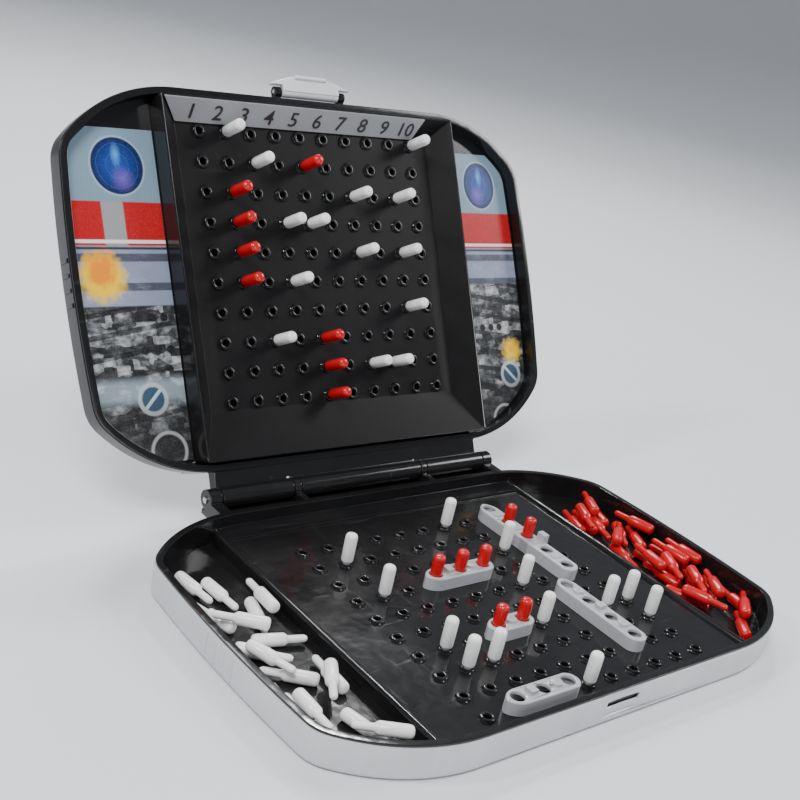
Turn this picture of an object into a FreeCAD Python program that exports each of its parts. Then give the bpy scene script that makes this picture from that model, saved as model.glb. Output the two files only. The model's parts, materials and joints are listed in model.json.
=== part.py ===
import FreeCAD, Part
import math
import os
import random

# A folding travel case for the two-player fleet guessing game, standing open on a table.
# Origin: centre of the bottom face. +X to the player's right, +Y to the hinge, +Z up.
# All lengths are in millimetres.

Vector = FreeCAD.Vector

# ---- driving dimensions -------------------------------------------------------------------
PITCH = 11.5                 # peg hole to peg hole, both grids
CELLS = 10                   # holes along each side of a grid

CASE_HALF_LENGTH = 71.5      # front to back, half
SWEEP_X = 63.0               # where the straight front edge turns into the corner sweep
SWEEP_R = 60.0               # long corner sweep
SWEEP_END = 47.2             # degrees turned by the long sweep
CORNER_R = 14.0              # tight part of the corner
CORNER_END = 86.0            # degrees turned where the bowed side begins

WALL = 1.6                   # outer shell wall
FLOOR = 1.5                  # outer shell floor
BASE_HEIGHT = 13.25          # table to the parting plane
LIP = 0.9                    # thickness of the black lip that covers the shell's edge
LIP_INSET = 0.25             # the lip stops this far inside the shell's outer face
FIT_GAP = 0.15               # gap between an outer shell and its insert
RIM_WIDTH = 1.1              # wall of an insert

GRID_Y = -8.0                # centre of the ocean grid
BOARD_Z = 7.5                # ocean board face
BOARD_THICK = 2.0
LEDGE_Y = 60.0               # front edge of the raised strip behind the ocean grid
LEDGE_HEIGHT = 1.0
DIVIDER_X = 74.75            # middle of the ridge between the board and a peg well
DIVIDER_WIDTH = 3.0
DIVIDER_HEIGHT = 1.4
WELL_FLOOR_Z = 3.3

HOLE_R = 1.4                 # peg hole
COLLAR_R = 2.5               # raised ring around each hole
COLLAR_HEIGHT = 0.9

PEG_PIN_R = 1.32
PEG_PIN_LENGTH = 6.6
PEG_HEAD_R = 2.3
PEG_HEAD_LENGTH = 12.3
PEG_SHOULDER = 1.3           # height of the cone between the pin and the head
PEG_DOME = 1.9               # radius of the rounded end

HINGE_GAP = 9.75             # case edge to the hinge axis
BARREL_R = 4.0
HINGE_WEB_LOW = 6.8           # the web that joins the base's knuckles, bottom
HINGE_WEB_HIGH = 9.0
HINGE_PIN_R = 1.25
HINGE_PIN_CLEAR = 0.06
HINGE_HALF = 71.5            # half the hinge's length
END_KNUCKLE = 5.0
THIN_KNUCKLE = 3.0
THIN_KNUCKLE_X = 32.2
KNUCKLE_GAP = 0.35
OPEN_ANGLE = 119.3           # lid angle from shut, as it stands

LID_ROW_TEN = 3.05           # hinge axis to the nearest row of target holes, in pitches
WING_DEPTH = 8.6             # lid thickness at the two picture wings
LID_DEPTH = 13.0             # lid thickness behind the target grid
LID_BACK_HALF = 74.0         # half-width of the deeper middle of the lid
WING_FLOOR = 5.9             # rim plane down to the wing floor
PANEL_SKIN = 1.0
POD_HALF = 70.7              # half-width of the raised target box
POD_RISE = 3.45              # target box rim above the lid's rim plane
POD_BOTTOM = 13.4            # hinge axis to the box's near edge
POD_TOP = 149.5              # hinge axis to the box's far edge
POD_RIM = 0.8
TARGET_DEPTH = 5.2           # rim plane down to the target face
TARGET_HALF = 61.5
TARGET_BOTTOM = 31.6         # hinge axis to the near edge of the target face
TARGET_TOP = 141.4
STRIP_THICK = 0.6
STICKER_THICK = 0.25

CLASP_HALF = 19.5
CLASP_REACH = 9.4            # beyond the lid's edge
CLASP_THICK = 2.4
CLASP_BARREL_R = 2.0
CLASP_BARREL_HALF = 13.6
CLASP_PIN_R = 0.8
CLASP_LUG = 3.0
CLASP_DROP = 2.6             # rim plane down to the clasp axis
CLASP_OUT = 2.8              # lid edge out to the clasp axis

HULL_WIDTH = 8.2
HULL_HEIGHT = 5.2
HULL_WALL = 1.0
HULL_DECK = 1.3
HULL_HOLE_R = 2.62
HULL_OVERHANG = 4.6          # hull beyond the centre of its end hole
SHIP_CLEAR = 0.05            # hull above the board

# ---- values worked out from them ----------------------------------------------------------
HINGE_Y = CASE_HALF_LENGTH + HINGE_GAP
LID_Y = HINGE_Y + HINGE_GAP + CASE_HALF_LENGTH
TARGET_Y = HINGE_Y + (LID_ROW_TEN + (CELLS - 1) / 2) * PITCH
INSERT_INSET = WALL + FIT_GAP
INNER_INSET = INSERT_INSET + RIM_WIDTH
TARGET_Z = BASE_HEIGHT - TARGET_DEPTH
HINGE_POINT = Vector(0, HINGE_Y, BASE_HEIGHT)
LID_TURN = 180.0 - OPEN_ANGLE
TALL = 60.0                  # longer than any cut has to be
WIDE = 300.0


# ---- helpers ------------------------------------------------------------------------------
def on_arc(centre, radius, degrees):
    """A point on a circle, its angle counted from +Y towards +X."""
    a = math.radians(degrees)
    return (centre[0] + radius * math.sin(a), centre[1] + radius * math.cos(a))


def outline_arcs(inset):
    """The right-hand side of the case's plan outline, from back to front, as three-point arcs."""
    turn = math.radians(SWEEP_END)
    end = math.radians(CORNER_END)
    sweep = (SWEEP_X, CASE_HALF_LENGTH - SWEEP_R)
    corner = (
        sweep[0] + (SWEEP_R - CORNER_R) * math.sin(turn),
        sweep[1] + (SWEEP_R - CORNER_R) * math.cos(turn),
    )
    side_r = CORNER_R + corner[1] / math.cos(end)
    side = (corner[0] + (CORNER_R - side_r) * math.sin(end), 0.0)
    back = [
        [on_arc(sweep, SWEEP_R - inset, SWEEP_END * k / 2) for k in range(3)],
        [
            on_arc(corner, CORNER_R - inset, SWEEP_END + (CORNER_END - SWEEP_END) * k / 2)
            for k in range(3)
        ],
    ]
    middle = [[on_arc(side, side_r - inset, a) for a in (CORNER_END, 90.0, 180.0 - CORNER_END)]]
    front = [[(x, -y) for x, y in reversed(arc)] for arc in reversed(back)]
    return back + middle + front


def outline_face(inset, z, y_centre=0.0):
    """The case's plan outline as a flat face, moved in by inset."""
    right = outline_arcs(inset)
    left = [[(-x, y) for x, y in reversed(arc)] for arc in reversed(right)]
    edges = []
    for arc in right + left:
        ends = [Vector(x, y + y_centre, z) for x, y in arc]
        edges.append(Part.Arc(*ends).toShape())
    for side in (1, -1):
        y = side * (CASE_HALF_LENGTH - inset) + y_centre
        edges.append(Part.makeLine(Vector(-SWEEP_X, y, z), Vector(SWEEP_X, y, z)))
    return Part.Face(Part.Wire(Part.__sortEdges__(edges)))


def outline_prism(inset, low, high, y_centre=0.0):
    """A solid with the case's plan outline between two heights."""
    return outline_face(inset, low, y_centre).extrude(Vector(0, 0, high - low))


def box(x0, x1, y0, y1, z0, z1):
    """A box from its six sides."""
    return Part.makeBox(x1 - x0, y1 - y0, z1 - z0, Vector(x0, y0, z0))


def rod(x0, x1, y, z, radius):
    """A round bar along X."""
    return Part.makeCylinder(radius, x1 - x0, Vector(x0, y, z), Vector(1, 0, 0))


def disc(x, y, z0, z1, radius):
    """A round bar along Z."""
    return Part.makeCylinder(radius, z1 - z0, Vector(x, y, z0))


def polygon_prism(points, push):
    """A solid from a flat polygon pushed along a vector."""
    corners = [Vector(*p) for p in points]
    return Part.Face(Part.makePolygon(corners + corners[:1])).extrude(push)


def frustum(low, z_low, high, z_high):
    """A tapered block between two rectangles, each given as x0, x1, y0, y1."""
    wires = []
    for (x0, x1, y0, y1), z in ((low, z_low), (high, z_high)):
        corners = [Vector(x0, y0, z), Vector(x1, y0, z), Vector(x1, y1, z), Vector(x0, y1, z)]
        wires.append(Part.makePolygon(corners + corners[:1]))
    return Part.makeLoft(wires, True, True)


def grid_points(y_centre):
    """The centre of every hole in a grid."""
    places = [(k - (CELLS - 1) / 2) * PITCH for k in range(CELLS)]
    return [(x, y_centre + y) for y in places for x in places]


def cell(column, row, y_centre):
    """The centre of one hole: columns count from the left, rows from the back."""
    middle = (CELLS + 1) / 2
    return ((column - middle) * PITCH, y_centre + (middle - row) * PITCH)


def drilled(plate, y_centre, face_z, thickness):
    """Adds a raised collar around every hole of a grid and drills the holes."""
    points = grid_points(y_centre)
    collars = [disc(x, y, face_z - thickness / 2, face_z + COLLAR_HEIGHT, COLLAR_R) for x, y in points]
    plate = plate.fuse(collars)
    drills = [disc(x, y, face_z - thickness - 1, face_z + COLLAR_HEIGHT + 1, HOLE_R) for x, y in points]
    return plate.cut(Part.makeCompound(drills)).removeSplitter()


def rounded(shape, radius, chosen):
    """Rounds the chosen edges, where the kernel can."""
    edges = [e for e in shape.Edges if chosen(e)]
    return shape.makeFillet(radius, edges)


def stood_up(shape):
    """Turns a lid piece from lying flat behind the base to the angle it stands at."""
    copy = shape.copy()
    copy.rotate(HINGE_POINT, Vector(1, 0, 0), LID_TURN)
    return copy


def save(name, shape):
    """Writes one node."""
    shape.exportStep(os.path.join("parts", name + ".step"))


# ---- base ---------------------------------------------------------------------------------
def side_ribs(low, high, y_centre, half_width):
    """Four upright grip ribs on each side wall."""
    rib_spacing = 5.2
    rib_width = 1.6
    rib_proud = 0.45
    ribs = []
    for side in (1, -1):
        for k in range(4):
            y = y_centre + (k - 1.5) * rib_spacing
            x0, x1 = sorted((side * (half_width - 1.0), side * (half_width + rib_proud)))
            ribs.append(box(x0, x1, y - rib_width / 2, y + rib_width / 2, low, high))
    return ribs


def case_half_width():
    """The widest half-width of the plan outline."""
    return outline_arcs(0.0)[2][1][0]


def base_outer_shell():
    """The silver pan with rounded bottom edge, side ribs and a thumb dish for the clasp."""
    top = BASE_HEIGHT - LIP
    pan = outline_prism(0.0, 0.0, top)
    pan = rounded(pan, 2.2, lambda e: e.BoundBox.ZMax < 0.01)
    pan = pan.fuse(side_ribs(2.6, top - 1.6, 0.0, case_half_width()))
    pan = pan.cut(outline_prism(WALL, FLOOR, TALL))
    arm_half = HINGE_HALF + 0.3
    for x0, x1 in base_knuckles():
        pan = pan.cut(box(max(x0 - 0.2, -arm_half), min(x1 + 0.2, arm_half), 60, 80, 8.6, TALL))
    dish = Part.makeCylinder(90.0, TALL, Vector(0, -CASE_HALF_LENGTH - 89.1, 3.0))
    slot = box(-8.0, 8.0, -80, -60, 6.2, 8.4)
    pan = pan.cut(dish).cut(slot)
    return pan.removeSplitter()


def base_knuckles():
    """X ranges of the base's four hinge knuckles."""
    ends = [(-HINGE_HALF, -HINGE_HALF + END_KNUCKLE), (HINGE_HALF - END_KNUCKLE, HINGE_HALF)]
    thin = [(s * THIN_KNUCKLE_X - THIN_KNUCKLE / 2, s * THIN_KNUCKLE_X + THIN_KNUCKLE / 2) for s in (-1, 1)]
    return ends + thin


def lid_knuckles():
    """X ranges of the lid's three hinge leaves, between the base's knuckles."""
    inner = HINGE_HALF - END_KNUCKLE - KNUCKLE_GAP
    far = THIN_KNUCKLE_X + THIN_KNUCKLE / 2 + KNUCKLE_GAP
    near = THIN_KNUCKLE_X - THIN_KNUCKLE / 2 - KNUCKLE_GAP
    return [(-inner, -far), (-near, near), (far, inner)]


def base_inner_tray():
    """The black insert: drilled ocean board, two peg wells, ridges, lip, hinge knuckles and web."""
    tray = outline_prism(INSERT_INSET, FLOOR + 0.1, BASE_HEIGHT)
    tray = tray.fuse(outline_prism(LIP_INSET, BASE_HEIGHT - LIP, BASE_HEIGHT))
    for x0, x1 in base_knuckles():
        arm = box(x0, x1, CASE_HALF_LENGTH - 3, HINGE_Y, 8.8, BASE_HEIGHT)
        tray = tray.fuse([arm, rod(x0, x1, HINGE_Y, BASE_HEIGHT, BARREL_R)])
    web_y = CASE_HALF_LENGTH + FIT_GAP
    web = box(-HINGE_HALF, HINGE_HALF, web_y, HINGE_Y + 2.0, HINGE_WEB_LOW, HINGE_WEB_HIGH)
    tray = tray.fuse(web)
    tray = tray.cut(outline_prism(INNER_INSET, BOARD_Z, TALL))
    well_wall = DIVIDER_X + DIVIDER_WIDTH / 2
    wells = outline_prism(INNER_INSET, WELL_FLOOR_Z, TALL)
    wells = wells.cut(box(-well_wall, well_wall, -WIDE, WIDE, 0, TALL))
    tray = tray.cut(wells)
    under = outline_prism(INNER_INSET, 0, BOARD_Z - BOARD_THICK)
    under = under.common(box(1.5 - well_wall, well_wall - 1.5, -WIDE, WIDE, 0, TALL))
    tray = tray.cut(under)
    inner_y = CASE_HALF_LENGTH - INNER_INSET + 0.5
    ledge_x = DIVIDER_X - DIVIDER_WIDTH / 2
    ledge = box(-ledge_x, ledge_x, LEDGE_Y, inner_y, BOARD_Z - 1, BOARD_Z + LEDGE_HEIGHT)
    trims = [ledge.common(outline_prism(INNER_INSET - 0.5, 0, TALL))]
    trims += [divider_ridge(side) for side in (-1, 1)]
    tray = tray.fuse(trims)
    tray = tray.cut(rod(-WIDE, WIDE, HINGE_Y, BASE_HEIGHT, HINGE_PIN_R))
    return drilled(tray, GRID_Y, BOARD_Z, BOARD_THICK)


def divider_ridge(side):
    """The round-topped ridge between the board and a well."""
    half = DIVIDER_WIDTH / 2
    ridge = box(
        side * DIVIDER_X - half, side * DIVIDER_X + half, -WIDE / 2, WIDE / 2,
        BOARD_Z - 1, BOARD_Z + DIVIDER_HEIGHT,
    )
    ridge = rounded(ridge, half - 0.2, lambda e: e.BoundBox.ZMin > BOARD_Z and e.BoundBox.YLength > 10)
    return ridge.common(outline_prism(INNER_INSET - 0.5, 0, TALL))


def hinge_pin():
    """The steel wire that joins base and lid."""
    radius = HINGE_PIN_R - HINGE_PIN_CLEAR
    return rod(-HINGE_HALF - 0.6, HINGE_HALF + 0.6, HINGE_Y, BASE_HEIGHT, radius)


# ---- lid, drawn lying flat behind the base with its inside up -----------------------------
def lid_outer_shell():
    """The black back of the lid: two thin wings, a deeper middle, hinge leaves and clasp lugs."""
    rim = BASE_HEIGHT
    middle = box(-LID_BACK_HALF, LID_BACK_HALF, LID_Y - WIDE, LID_Y + WIDE, -TALL, TALL)
    body = outline_prism(0.0, rim - WING_DEPTH, rim - LIP, LID_Y)
    body = body.fuse(outline_prism(0.0, rim - LID_DEPTH, rim - WING_DEPTH + 0.5, LID_Y).common(middle))
    body = body.removeSplitter()
    body = rounded(body, 1.6, lambda e: e.BoundBox.ZMax < rim - LID_DEPTH + 0.01)
    body = body.fuse(side_ribs(rim - WING_DEPTH + 1.6, rim - LIP - 1.0, LID_Y, case_half_width()))
    inside = outline_prism(WALL, rim - WING_DEPTH + 1.4, TALL, LID_Y)
    deep = box(-LID_BACK_HALF + WALL, LID_BACK_HALF - WALL, LID_Y - WIDE, LID_Y + WIDE, -TALL, TALL)
    deep = outline_prism(WALL, rim - LID_DEPTH + 1.4, TALL, LID_Y).common(deep)
    body = body.cut(inside).cut(deep)
    return body.fuse(hinge_leaves() + clasp_lugs()).cut(clasp_bore()).cut(lid_bore())


def hinge_leaves():
    """Three wide leaves from the lid's back wall to the hinge axis, joined behind the knuckles."""
    leaves = []
    edge = HINGE_Y + HINGE_GAP
    low, high = BASE_HEIGHT - 5.4, BASE_HEIGHT - 1.0
    for x0, x1 in lid_knuckles():
        leaves.append(box(x0, x1, HINGE_Y, edge + 1.0, low, high))
        leaves.append(rod(x0, x1, HINGE_Y, BASE_HEIGHT, BARREL_R))
    reach = lid_knuckles()[-1][1]
    leaves.append(box(-reach, reach, HINGE_Y + BARREL_R + 0.6, edge + 1.0, low, high))
    return leaves


def lid_bore():
    """The hole for the hinge pin."""
    return rod(-WIDE, WIDE, HINGE_Y, BASE_HEIGHT, HINGE_PIN_R)


def clasp_axis():
    """Y and Z of the clasp's pivot."""
    return LID_Y + CASE_HALF_LENGTH + CLASP_OUT, BASE_HEIGHT - CLASP_DROP


def clasp_lugs():
    """Two lugs on the lid's free edge that hold the clasp's pin."""
    y, z = clasp_axis()
    lugs = []
    for side in (-1, 1):
        x0, x1 = sorted((side * (CLASP_BARREL_HALF + 0.3), side * (CLASP_BARREL_HALF + 0.3 + CLASP_LUG)))
        lugs.append(rod(x0, x1, y, z, CLASP_BARREL_R))
        lugs.append(box(x0, x1, LID_Y + CASE_HALF_LENGTH - 1.0, y, z - CLASP_BARREL_R, z + 0.6))
    return lugs


def clasp_bore():
    """The hole for the clasp's pin, through both lugs."""
    y, z = clasp_axis()
    return rod(-CLASP_HALF, CLASP_HALF, y, z, CLASP_PIN_R)


def clasp():
    """The pale thumb clasp, a domed tab on a barrel with a hook on its inner face."""
    y, z = clasp_axis()
    edge = LID_Y + CASE_HALF_LENGTH
    top_z = BASE_HEIGHT - 0.2
    low_z = top_z - CLASP_THICK
    start = y + CLASP_BARREL_R + 0.35
    rise = edge + CLASP_REACH - start
    radius = (CLASP_HALF ** 2 + rise ** 2) / (2 * rise)
    dome = disc(0, edge + CLASP_REACH - radius, low_z, top_z, radius)
    dome = dome.common(box(-CLASP_HALF, CLASP_HALF, start, edge + TALL, low_z, top_z))
    dome = rounded(dome, 0.8, lambda e: e.BoundBox.YLength > 3 and e.BoundBox.ZLength < 0.1)
    neck = box(-CLASP_BARREL_HALF, CLASP_BARREL_HALF, y, start + 1.5, low_z, top_z)
    barrel = rod(-CLASP_BARREL_HALF, CLASP_BARREL_HALF, y, z, CLASP_BARREL_R)
    hook = rod(-7.5, 7.5, start + 3.2, top_z + 0.1, 0.8)
    tab = dome.fuse([neck, barrel, hook])
    return tab.cut(clasp_bore()).removeSplitter()


def clasp_pin():
    """The short wire that the clasp turns on."""
    y, z = clasp_axis()
    reach = CLASP_BARREL_HALF + 0.3 + CLASP_LUG
    return rod(-reach, reach, y, z, CLASP_PIN_R - 0.05)


def pod_rectangles():
    """Inner rim and face of the target box, as x0, x1, y0, y1."""
    rim = (
        POD_RIM - POD_HALF, POD_HALF - POD_RIM,
        HINGE_Y + POD_BOTTOM + POD_RIM, HINGE_Y + POD_TOP - POD_RIM,
    )
    face = (-TARGET_HALF, TARGET_HALF, HINGE_Y + TARGET_BOTTOM, HINGE_Y + TARGET_TOP)
    return rim, face


def target_panel():
    """The black lid insert: wing floors, lip, and the raised box with the drilled target face."""
    rim = BASE_HEIGHT
    panel = outline_prism(INSERT_INSET, rim - WING_FLOOR - PANEL_SKIN, rim, LID_Y)
    panel = panel.fuse(outline_prism(LIP_INSET, rim - LIP, rim, LID_Y))
    panel = panel.cut(outline_prism(INNER_INSET, rim - WING_FLOOR, TALL, LID_Y))
    pod = box(-POD_HALF, POD_HALF, HINGE_Y + POD_BOTTOM, HINGE_Y + POD_TOP, TARGET_Z - 2.0, rim + POD_RISE)
    pod = rounded(pod, 2.0, lambda e: e.BoundBox.ZLength > 5)
    panel = panel.fuse(pod)
    rim_box, face_box = pod_rectangles()
    panel = panel.cut(frustum(face_box, TARGET_Z, rim_box, rim + POD_RISE))
    return drilled(panel, TARGET_Y, TARGET_Z, BOARD_THICK)


def number_strip():
    """The grey strip of column numbers on the far bevel of the target box."""
    (_, _, _, y_high), (_, _, _, y_low) = pod_rectangles()
    z_low, z_high = TARGET_Z, BASE_HEIGHT + POD_RISE
    slope = Vector(0, y_high - y_low, z_high - z_low)
    slope_length = slope.Length
    slope.normalize()
    outward = Vector(0, -slope.z, slope.y)
    foot = Vector(0, y_low, z_low) + slope * 0.7
    head = Vector(0, y_low, z_low) + slope * (slope_length - 0.5)
    low_x = (-TARGET_HALF - 0.2, 53.0)
    high_x = (-TARGET_HALF - 7.4, 55.5)
    corners = [
        (low_x[0], foot.y, foot.z), (low_x[1], foot.y, foot.z),
        (high_x[1], head.y, head.z), (high_x[0], head.y, head.z),
    ]
    return polygon_prism(corners, outward * STRIP_THICK)


def wing_sticker(side):
    """A printed picture on one wing floor."""
    z = BASE_HEIGHT - WING_FLOOR
    sheet = outline_prism(INNER_INSET + 0.9, z, z + STICKER_THICK, LID_Y)
    x0, x1 = sorted((side * (POD_HALF + 0.5), side * WIDE))
    low = HINGE_Y + LID_ROW_TEN * PITCH - 1.7 * PITCH
    high = HINGE_Y + LID_ROW_TEN * PITCH + 8.9 * PITCH
    return sheet.common(box(x0, x1, low, high, 0, TALL))


# ---- ships --------------------------------------------------------------------------------
SHIPS = {
    # name: (first column, first row, cells along X, cells along Y)
    "carrier": (9, 1, 0, 5),
    "battleship": (8, 6, 0, 4),
    "cruiser": (4, 4, 3, 0),
    "submarine": (2, 10, 3, 0),
    "destroyer": (4, 7, 2, 0),
}


def hull_face(length, width, z):
    """A hull seen from above: round stern, pointed bow of two arcs, along +X."""
    half = width / 2
    bow = length / 2
    stern = -length / 2
    shoulder = bow - 1.5 * half
    dip = stern + half * 0.9
    edges = [
        Part.makeLine(Vector(dip, half, z), Vector(shoulder, half, z)),
        Part.Arc(
            Vector(shoulder, half, z), Vector(bow - 0.5 * half, half * 0.66, z), Vector(bow, 0, z)
        ).toShape(),
        Part.Arc(
            Vector(bow, 0, z), Vector(bow - 0.5 * half, -half * 0.66, z), Vector(shoulder, -half, z)
        ).toShape(),
        Part.makeLine(Vector(shoulder, -half, z), Vector(dip, -half, z)),
        Part.Arc(Vector(dip, -half, z), Vector(stern, 0, z), Vector(dip, half, z)).toShape(),
    ]
    return Part.Face(Part.Wire(Part.__sortEdges__(edges)))


def deck_details(name, cells):
    """Turrets, blocks and masts that stand between the holes, along +X from the stern."""
    deck = HULL_HEIGHT
    gaps = [(k - (cells - 2) / 2) * PITCH for k in range(cells - 1)]
    pieces = []
    for k, x in enumerate(gaps):
        if name == "carrier":
            pieces.append(box(x - 1.4, x + 1.4, -2.4, 2.4, deck - 0.2, deck + 0.5))
        elif k % 2 == 0:
            pieces.append(disc(x, 0, deck - 0.2, deck + 1.1, 2.1))
            pieces.append(rod(x, x + 3.0, 0, deck + 0.7, 0.42))
        else:
            pieces.append(box(x - 1.5, x + 1.5, -1.9, 1.9, deck - 0.2, deck + 1.7))
    if name == "carrier":
        x = gaps[1]
        pieces.append(box(x - 2.0, x + 2.0, -4.0, -1.3, deck - 0.2, deck + 3.6))
    return pieces


def ship(name):
    """A hollow hull with one large hole per cell, set down over the board's collars."""
    column, row, along_x, along_y = SHIPS[name]
    cells = max(along_x, along_y)
    length = (cells - 1) * PITCH + 2 * HULL_OVERHANG
    hull = hull_face(length, HULL_WIDTH, 0).extrude(Vector(0, 0, HULL_HEIGHT))
    hull = rounded(hull, 0.7, lambda e: e.BoundBox.ZMin > HULL_HEIGHT - 0.01)
    hollow = hull_face(length - 2 * HULL_WALL, HULL_WIDTH - 2 * HULL_WALL, -1)
    hull = hull.cut(hollow.extrude(Vector(0, 0, HULL_HEIGHT - HULL_DECK + 1)))
    hull = hull.fuse(deck_details(name, cells))
    for k in range(cells):
        x = (k - (cells - 1) / 2) * PITCH
        hull = hull.cut(disc(x, 0, -1, TALL, HULL_HOLE_R))
    x0, y0 = cell(column, row, GRID_Y)
    hull.rotate(Vector(0, 0, 0), Vector(0, 0, 1), 90 if along_y else 180)
    if along_y:
        y0 -= (cells - 1) / 2 * PITCH
    else:
        x0 += (cells - 1) / 2 * PITCH
    hull.translate(Vector(x0, y0, BOARD_Z + SHIP_CLEAR))
    return hull.removeSplitter()


# ---- pegs ---------------------------------------------------------------------------------
def peg():
    """One peg along +Z, its shoulder at z = 0: thin pin below, long round-ended head above."""
    tip = -PEG_PIN_LENGTH
    slim = 0.8
    point = Part.makeCone(slim, PEG_PIN_R, 1.0, Vector(0, 0, tip))
    pin = disc(0, 0, tip + 1.0, 0.1, PEG_PIN_R)
    shoulder = Part.makeCone(PEG_PIN_R, PEG_HEAD_R, PEG_SHOULDER - 0.1, Vector(0, 0, 0.1))
    head = disc(0, 0, PEG_SHOULDER, PEG_HEAD_LENGTH, PEG_HEAD_R)
    head = rounded(head, PEG_DOME, lambda e: e.BoundBox.ZMin > PEG_HEAD_LENGTH - 0.01)
    return point.fuse([pin, shoulder, head]).removeSplitter()


def pegs_in_grid(places, y_centre, face_z):
    """Pegs pushed into the listed holes, each given as column and row."""
    group = []
    for column, row in places:
        x, y = cell(column, row, y_centre)
        one = peg()
        one.translate(Vector(x, y, face_z + COLLAR_HEIGHT))
        group.append(one)
    return Part.makeCompound(group)


OCEAN_WHITE = [
    (7, 1), (2, 2), (2, 4), (8, 3), (7, 5), (6, 7), (9, 7),
    (10, 7), (10, 8), (2, 7), (2, 8), (3, 8), (5, 10),
]
OCEAN_RED = [(9, 2), (9, 3), (4, 4), (5, 4), (6, 4), (4, 7), (5, 7)]
TARGET_WHITE = [
    (2, 1), (10, 1), (3, 2), (7, 3), (9, 3), (4, 4), (5, 4),
    (7, 5), (9, 5), (4, 6), (9, 7), (3, 8), (7, 9), (8, 9),
]
TARGET_RED = [(5, 2), (2, 3), (2, 4), (2, 5), (2, 6), (5, 8), (5, 9), (5, 10)]


def peg_ends(x, y, z, heading, tilt):
    """The two ends of a lying peg's centre line, from its middle."""
    whole = PEG_PIN_LENGTH + PEG_HEAD_LENGTH
    a, t = math.radians(heading), math.radians(tilt)
    along = Vector(math.cos(a) * math.cos(t), math.sin(a) * math.cos(t), math.sin(t))
    middle = Vector(x, y, z)
    return middle - along * (whole / 2), middle + along * (whole / 2)


def gap_between(one, other):
    """The least distance between two lying pegs' centre lines."""
    return Part.makeLine(*one).distToShape(Part.makeLine(*other))[0]


def laid_peg(ends):
    """A peg laid along a centre line, its pin at the first end."""
    along = (ends[1] - ends[0]).normalize()
    one = peg()
    one.translate(Vector(0, 0, PEG_PIN_LENGTH))
    one.Placement = FreeCAD.Placement(
        ends[0], FreeCAD.Rotation(Vector(0, 0, 1), along)
    ).multiply(one.Placement)
    return one


def well_room(side):
    """The space inside one peg well, kept a peg's radius clear of its walls."""
    margin = PEG_HEAD_R + 0.3
    room = outline_prism(INNER_INSET + margin, 0, TALL)
    x0, x1 = sorted((side * (DIVIDER_X + DIVIDER_WIDTH / 2 + margin), side * WIDE))
    return room.common(box(x0, x1, -WIDE, 48.0, 0, TALL))


def loose_pegs(side, layers, seed):
    """Pegs thrown loosely into a well, so many in each layer, none of them touching."""
    draw = random.Random(seed)
    room = well_room(side)
    spacing = 2 * PEG_HEAD_R + 0.02
    layer_step = 2 * PEG_HEAD_R + 0.05
    low_z = WELL_FLOOR_Z + PEG_HEAD_R + 0.05
    laid = []
    for layer, wanted in enumerate(layers):
        here = []
        for _ in range(4000):
            if len(here) == wanted:
                break
            x = side * draw.uniform(80.0, 107.0)
            y = draw.uniform(-62.0, 40.0)
            heading = 90.0 + draw.gauss(-18.0 * side, 26.0) + 180.0 * draw.randrange(2)
            ends = peg_ends(x, y, low_z + layer * layer_step, heading, 0.0)
            if not all(room.isInside(end, 0.01, True) for end in ends):
                continue
            if all(gap_between(ends, other) >= spacing for other in laid + here):
                here.append(ends)
        laid += here
    return Part.makeCompound([laid_peg(ends) for ends in laid])


# ---- all nodes ----------------------------------------------------------------------------
def main():
    os.makedirs("parts", exist_ok=True)
    save("base_outer_shell", base_outer_shell())
    save("base_inner_tray", base_inner_tray())
    save("hinge_pin", hinge_pin())
    save("lid_outer_shell", stood_up(lid_outer_shell()))
    save("target_panel", stood_up(target_panel()))
    save("number_strip", stood_up(number_strip()))
    save("left_sticker", stood_up(wing_sticker(-1)))
    save("right_sticker", stood_up(wing_sticker(1)))
    save("clasp", stood_up(clasp()))
    save("clasp_pin", stood_up(clasp_pin()))
    for name in SHIPS:
        save(name, ship(name))
    save("ocean_white_pegs", pegs_in_grid(OCEAN_WHITE, GRID_Y, BOARD_Z))
    save("ocean_red_pegs", pegs_in_grid(OCEAN_RED, GRID_Y, BOARD_Z))
    save("target_white_pegs", stood_up(pegs_in_grid(TARGET_WHITE, TARGET_Y, TARGET_Z)))
    save("target_red_pegs", stood_up(pegs_in_grid(TARGET_RED, TARGET_Y, TARGET_Z)))
    save("well_white_pegs", loose_pegs(-1, (10, 6), 7))
    save("well_red_pegs", loose_pegs(1, (17, 12), 11))


main()
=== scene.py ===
# %% [markdown]
# # A folding sea-battle case
# Two moulded plastic halves stand open on a hinge: a silver pan with a black, drilled tray, and
# a black lid whose raised box holds the target grid. Pegs, ships and printed wings finish it.
# The measured solids come first as a fixed frame, and every piece below is built round them.

# %% The fixed frame
import json
import math

import bmesh
import bpy
import numpy as np
from mathutils import Matrix, Vector
from mathutils.bvhtree import BVHTree


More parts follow.
